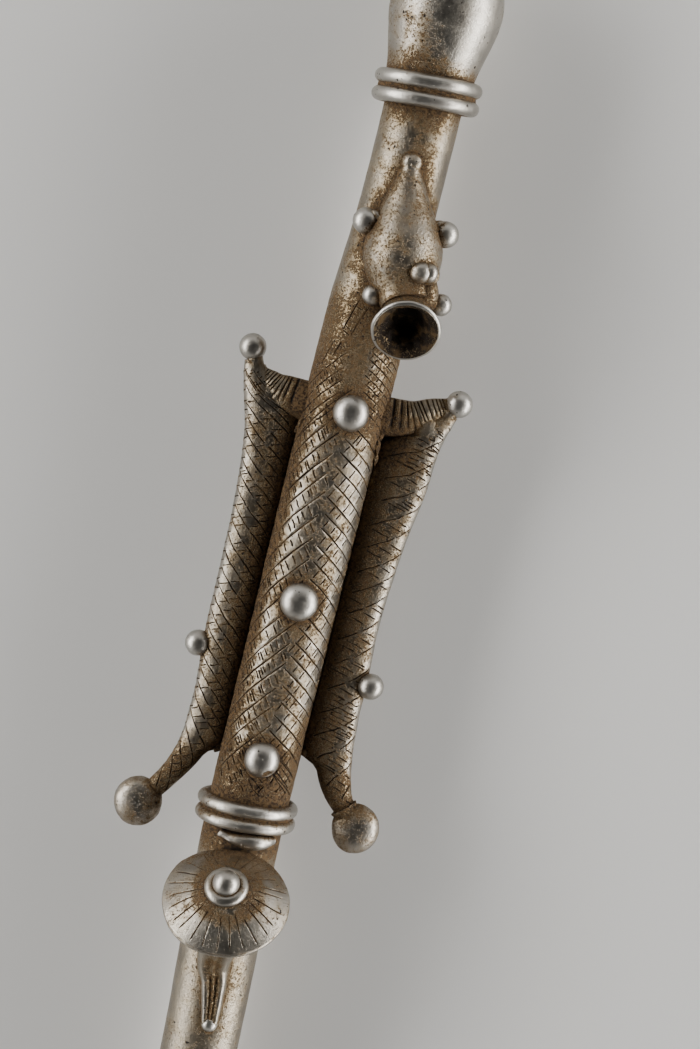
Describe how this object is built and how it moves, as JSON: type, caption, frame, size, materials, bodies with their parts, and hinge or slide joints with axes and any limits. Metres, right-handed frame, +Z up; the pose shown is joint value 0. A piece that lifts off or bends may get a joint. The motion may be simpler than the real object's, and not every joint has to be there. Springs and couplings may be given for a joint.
{
  "type": "ceremonial staff",
  "caption": "Cast ceremonial staff with a knob, ring mouldings, a horned animal with an open cup, engraved side wings ending in discs, a tilted rayed shade and a plain foot, lying on its back",
  "frame": {"origin": "middle of the bounding box's base, on the floor that the staff lies on", "axes": "+Y along the staff towards its knob, +Z up, out of its carved front, +X to the right of that front with the knob up"},
  "size_m": [0.0904, 0.9498, 0.0601],
  "materials": {
    "cast_metal": "dull cast skin, polished where it is worn, with brown earth in the hollows and cut lines"
  },
  "bodies": {
    "root": {"staff": "cast_metal"}
  },
  "joints": []
}
